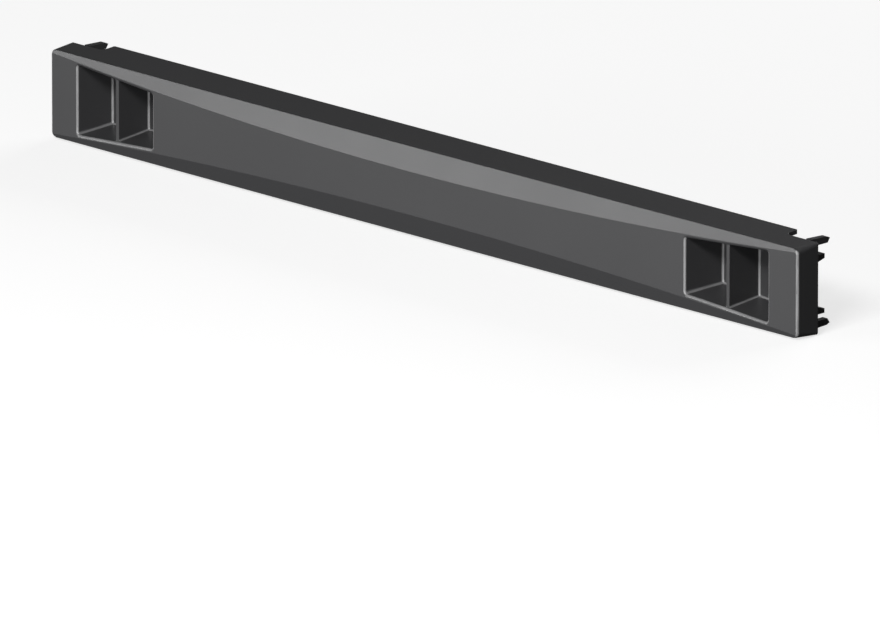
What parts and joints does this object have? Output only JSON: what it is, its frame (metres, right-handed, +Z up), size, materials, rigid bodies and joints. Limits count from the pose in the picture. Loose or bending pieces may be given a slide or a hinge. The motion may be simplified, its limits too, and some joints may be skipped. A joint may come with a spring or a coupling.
{
  "type": "rack blanking panel",
  "caption": "Snap-in filler panel one rack unit high for a 19-inch rack, with a bowed and bevelled front, finger-grip pockets and barbed prongs behind its ears.",
  "frame": {"origin": "middle of the plane where the ears seat on the rack rails", "axes": "+X to the right seen from the front, +Y back into the rack, +Z up"},
  "size_m": [0.4826, 0.032, 0.0444],
  "materials": {
    "moulded_plastic": "satin"
  },
  "bodies": {
    "root": {"blanking_panel": "moulded_plastic"}
  },
  "joints": []
}
